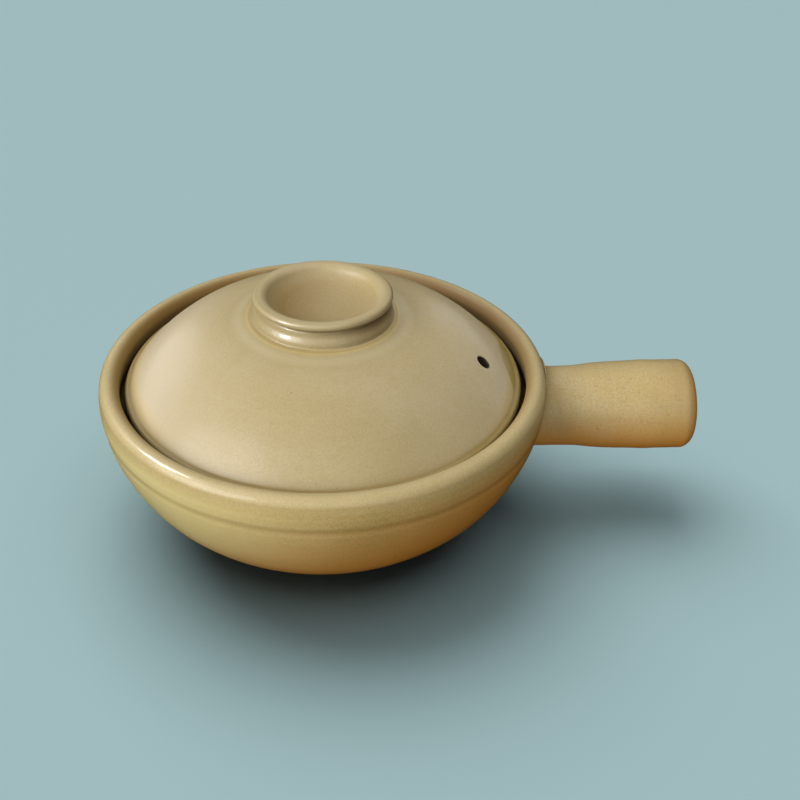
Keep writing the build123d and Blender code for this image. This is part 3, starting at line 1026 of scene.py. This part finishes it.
def make_lamp(name, towards, spread, strength, colour=(1.0, 1.0, 1.0), lights=None, shows="both"):
    """A soft lamp far away. towards points from the pot to it, and spread is how wide it looks, in degrees.

    lights is the collection of things that it lights, if it doesn't light all. shows is where it shows on
    them: gloss, colour or both. Its light isn't thrown back from thing to thing."""
    light = bpy.data.lights.new(name, "SUN")
    light.angle = math.radians(spread)
    light.energy = strength
    light.color = colour
    light.cycles.max_bounces = 0
    lamp = bpy.data.objects.new(name, light)
    lamp.rotation_euler = Vector(towards).to_track_quat("Z", "Y").to_euler()
    bpy.context.scene.collection.objects.link(lamp)
    lamp.light_linking.receiver_collection = lights
    lamp.visible_diffuse = shows != "gloss"
    lamp.visible_glossy = shows != "colour"
    return lamp


def linked(name, things, state):
    """A collection for light linking that holds things, to include or to leave out."""
    collection = bpy.data.collections.new(name)
    for k, thing in enumerate(things):
        collection.objects.link(thing)
        collection.collection_objects[k].light_linking.link_state = state
    return collection


def make_lights(floor, lid, knob):
    """Two lamps overhead give the floor its soft shadow. The pot has a key lamp on the left, one in front,
    one behind, one on the right and a weak warm one for light from below. The lid has one more on the right.
    Four lamps only show in gloss: one on the bowl and handle, one on the knob and two on the lid."""
    floor_only = linked("floor only", [floor], "INCLUDE")
    pot_only = linked("all but the floor", [floor], "EXCLUDE")
    bowl_only = linked("all but the floor, lid and knob", [floor, lid, knob], "EXCLUDE")
    lid_only = linked("lid only", [lid], "INCLUDE")
    knob_only = linked("knob only", [knob], "INCLUDE")
    make_lamp("overhead", (-0.02, 0.08, 1.0), 84, 0.84, lights=floor_only)
    make_lamp("overhead_back", (-0.287, 0.497, 0.819), 56, 1.42, lights=floor_only)
    make_lamp("key", (-0.79, -0.40, 0.46), 50, 2.35, (1.0, 0.99, 0.97), pot_only)
    make_lamp("front", (-0.35, -1.0, 0.15), 110, 1.65, (1.0, 0.98, 0.94), pot_only)
    make_lamp("back", (-0.2, 0.75, 0.65), 60, 1.0, lights=pot_only, shows="colour")
    make_lamp("right", (0.45, 0.0, 0.9), 60, 0.8, lights=pot_only, shows="colour")
    make_lamp("far_right", (0.8, 0.15, 0.55), 60, 0.6, lights=lid_only, shows="colour")
    below = make_lamp("below", (0.0, -0.7, -0.7), 150, 0.6, warm, pot_only, shows="colour")
    # The floor doesn't block it, and the second line keeps its warm light out of the floor's shadow
    below.light_linking.blocker_collection = pot_only
    below.data.cycles.use_multiple_importance_sampling = False
    make_lamp("glint", (-0.65, 0.22, 0.73), 20, 2.3, lights=bowl_only, shows="gloss")
    make_lamp("knob_glint", (-0.79, -0.36, 0.46), 18, 2.4, lights=knob_only, shows="gloss")
    make_lamp("sheen_left", (-0.75, 0.65, 0.16), 46, 0.9, cool, lid_only, shows="gloss")
    make_lamp("sheen_right", (0.65, 0.75, 0.16), 46, 0.5, cool, lid_only, shows="gloss")


def make_camera():
    """The photograph's viewpoint, worked out from the outlines of the pot's round edges."""
    data = bpy.data.cameras.new("camera")
    data.sensor_width = camera_sensor
    data.lens = camera_lens
    camera = bpy.data.objects.new("camera", data)
    turn = Matrix((camera_right, camera_up, camera_right.cross(camera_up))).transposed().to_4x4()
    camera.matrix_world = Matrix.Translation((0, -camera_back, rim_top + camera_above_rim)) @ turn
    bpy.context.scene.collection.objects.link(camera)
    bpy.context.scene.camera = camera


make_world()
make_lights(make_floor(), *make_pot())
make_camera()
bpy.context.scene.view_settings.view_transform = "Standard"
